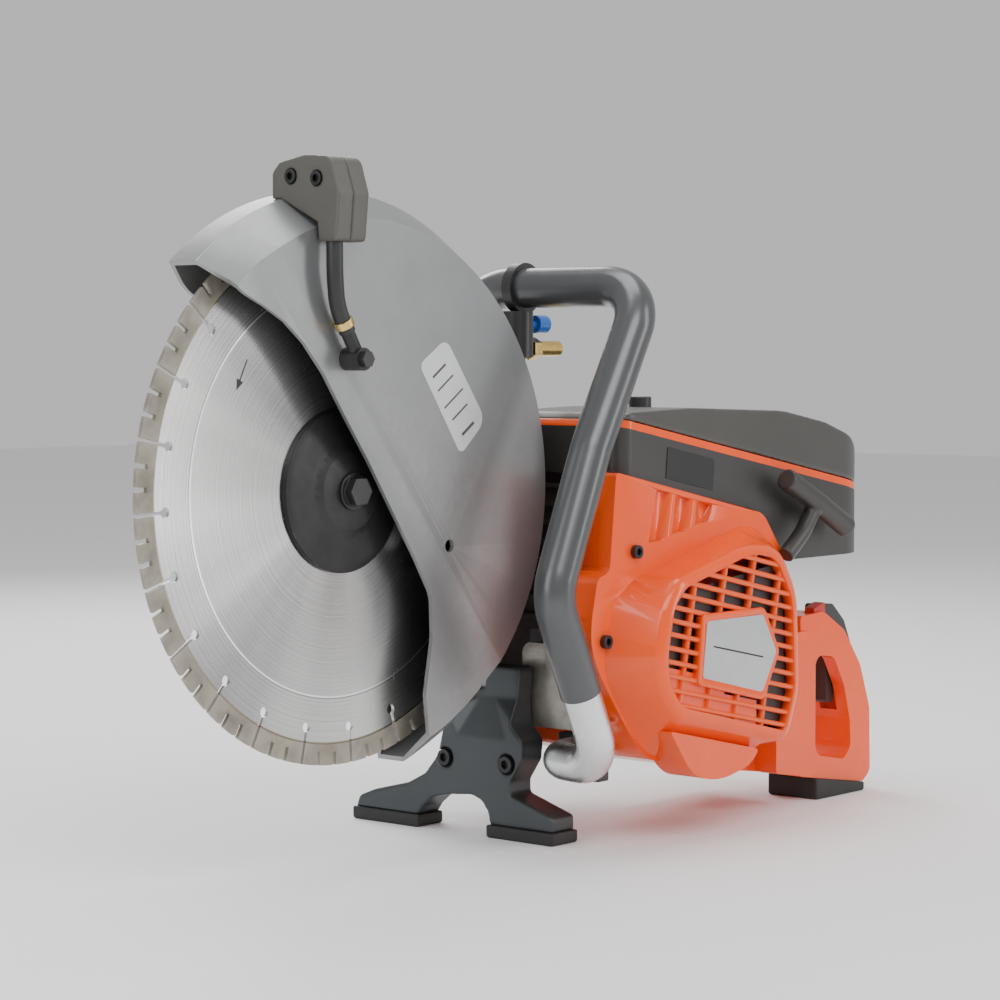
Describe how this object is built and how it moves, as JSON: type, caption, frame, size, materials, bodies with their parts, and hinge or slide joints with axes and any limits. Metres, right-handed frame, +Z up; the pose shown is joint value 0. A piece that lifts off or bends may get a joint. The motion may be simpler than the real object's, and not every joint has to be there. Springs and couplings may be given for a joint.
{
  "type": "concrete cut-off saw",
  "caption": "Petrol power cutter with a guarded diamond blade, belt arm, tubular front handle, rear handle with throttle, starter and front stand.",
  "frame": {"origin": "middle of the saw at floor level", "axes": "+X to the rear handle, +Y to the belt arm side, +Z up"},
  "size_m": [0.6929, 0.2596, 0.4559],
  "materials": {
    "blade_steel": "ground steel disc, radial grind marks",
    "diamond_matrix": "sintered diamond segments",
    "flange_black": "black oxide steel",
    "machined_steel": "machined steel",
    "guard_grey": "satin grey powder coat on magnesium",
    "grip_taupe": "moulded glass-filled polyamide",
    "cast_aluminium": "die-cast aluminium",
    "cover_grey": "fine-grained dark polyamide",
    "orange_gloss": "glossy orange polyamide",
    "sleeve_grey": "smooth dark grey coating",
    "bare_aluminium": "bare polished aluminium tube",
    "stand_grey": "dark grey coated casting",
    "pad_rubber": "moulded rubber",
    "hose_rubber": "black rubber hose",
    "brass": "turned brass",
    "muffler_steel": "heat-stained sheet steel",
    "plate_silver": "silver plate with a plain line",
    "screw_black": "black socket screws",
    "valve_black": "black moulded valve",
    "knob_blue": "blue moulded knob",
    "lever_dark": "dark moulded lever",
    "switch_red": "red moulded switch",
    "filter_paper": "pleated filter paper"
  },
  "bodies": {
    "machine": {"cutting_arm": "cast_aluminium", "ball_bearings": "machined_steel", "belt_cover": "cover_grey", "clutch_cover": "cover_grey", "drive_belt": "hose_rubber", "crankcase": "cast_aluminium", "cylinder": "cast_aluminium", "spark_plug": "machined_steel", "spark_plug_cap": "hose_rubber", "muffler": "muffler_steel", "carburettor": "cast_aluminium", "intake_boot": "hose_rubber", "air_filter": "filter_paper", "vibration_mounts": "pad_rubber", "front_shroud": "cover_grey", "cylinder_cover": "cover_grey", "trim_band": "orange_gloss", "filter_lid": "cover_grey", "starter_housing": "orange_gloss", "starter_plate": "plate_silver", "fuel_tank": "orange_gloss", "rear_handle_left": "orange_gloss", "rear_handle_right": "orange_gloss", "rear_foot": "pad_rubber", "front_handle_tube": "bare_aluminium", "front_handle_sleeve": "sleeve_grey", "handle_clamps": "cast_aluminium", "stand": "stand_grey", "stand_pads": "pad_rubber", "water_valve": "valve_black", "water_inlet": "brass", "water_hose": "hose_rubber", "socket_screws": "screw_black"},
    "blade": {"blade_core": "blade_steel", "diamond_segments": "diamond_matrix", "outer_flange": "flange_black", "inner_flange": "flange_black", "spindle_shaft": "machined_steel", "centre_bolt": "flange_black", "driven_pulley": "machined_steel"},
    "guard": {"blade_guard": "guard_grey", "guard_grip_front": "grip_taupe", "guard_grip_rear": "grip_taupe", "grip_screws": "screw_black", "guard_hose": "hose_rubber", "hose_fittings": "brass"},
    "crank": {"crankshaft": "machined_steel", "flywheel_fan": "cast_aluminium", "clutch_hub": "machined_steel"},
    "drum": {"clutch_drum": "machined_steel"},
    "piston": {"piston": "cast_aluminium"},
    "trigger": {"throttle_trigger": "lever_dark"},
    "lockout": {"throttle_lockout": "lever_dark"},
    "pull_handle": {"starter_handle": "lever_dark"},
    "rope_pulley": {"starter_pulley": "lever_dark"},
    "choke": {"choke_knob": "lever_dark"},
    "stop_button": {"stop_switch": "switch_red"},
    "water_tap": {"water_knob": "knob_blue"},
    "decompression": {"decompression_valve": "lever_dark"},
    "filler_cap": {"fuel_cap": "lever_dark"}
  },
  "joints": [
    {"name": "blade_spin", "type": "hinge", "parent": "machine", "child": "blade", "pos_m": [-0.1715, -0.0095, 0.246], "axis": [0, 1, 0], "continuous": true},
    {"name": "drum_spin", "type": "hinge", "parent": "machine", "child": "drum", "pos_m": [0.0965, -0.0095, 0.128], "axis": [0, 1, 0], "continuous": true},
    {"name": "crank_spin", "type": "hinge", "parent": "machine", "child": "crank", "pos_m": [0.0965, -0.0095, 0.128], "axis": [0, 1, 0], "continuous": true},
    {"name": "guard_tilt", "type": "hinge", "parent": "machine", "child": "guard", "pos_m": [-0.1715, -0.0095, 0.246], "axis": [0, 1, 0], "range_deg": [-40, 20]},
    {"name": "piston_stroke", "type": "slide", "parent": "machine", "child": "piston", "axis": [0.1959, 0, 0.9806], "range_m": [0, 0.038]},
    {"name": "trigger_press", "type": "hinge", "parent": "machine", "child": "trigger", "pos_m": [0.3025, -0.0555, 0.112], "axis": [0, -1, 0], "range_deg": [0, 12], "stiffness_Nm_per_rad": 0.5, "springref_deg": -14.32},
    {"name": "lockout_press", "type": "hinge", "parent": "machine", "child": "lockout", "pos_m": [0.2985, -0.0555, 0.126], "axis": [0, 1, 0], "range_deg": [0, 6], "stiffness_Nm_per_rad": 0.6, "springref_deg": -17.19},
    {"name": "rope_pulley_spin", "type": "hinge", "parent": "machine", "child": "rope_pulley", "pos_m": [0.0965, -0.0095, 0.128], "axis": [0, 1, 0], "range_deg": [0, 1486], "stiffness_Nm_per_rad": 0.01, "springref_deg": -343.77},
    {"name": "starter_pull", "type": "slide", "parent": "machine", "child": "pull_handle", "axis": [0.442, 0, 0.897], "range_m": [0, 0.701]},
    {"name": "choke_pull", "type": "slide", "parent": "machine", "child": "choke", "axis": [1, 0, 0], "range_m": [0, 0.012]},
    {"name": "stop_slide", "type": "slide", "parent": "machine", "child": "stop_button", "axis": [1, 0, 0], "range_m": [0, 0.005]},
    {"name": "water_turn", "type": "hinge", "parent": "machine", "child": "water_tap", "pos_m": [0.0485, 0.0125, 0.353], "axis": [1, 0, 0], "range_deg": [0, 90]},
    {"name": "decompression_press", "type": "slide", "parent": "machine", "child": "decompression", "axis": [0, 0, -1], "range_m": [0, 0.004], "stiffness_N_per_m": 800, "springref_m": -0.002},
    {"name": "cap_turn", "type": "hinge", "parent": "machine", "child": "filler_cap", "pos_m": [0.2285, 0.0165, 0.086], "axis": [0, 1, 0], "range_deg": [-90, 0]}
  ],
  "couplings": [
    {"joint": "drum_spin", "follows": "blade_spin", "ratio": 1.9707},
    {"joint": "starter_pull", "follows": "rope_pulley_spin", "m_per_rad": 0.027}
  ]
}
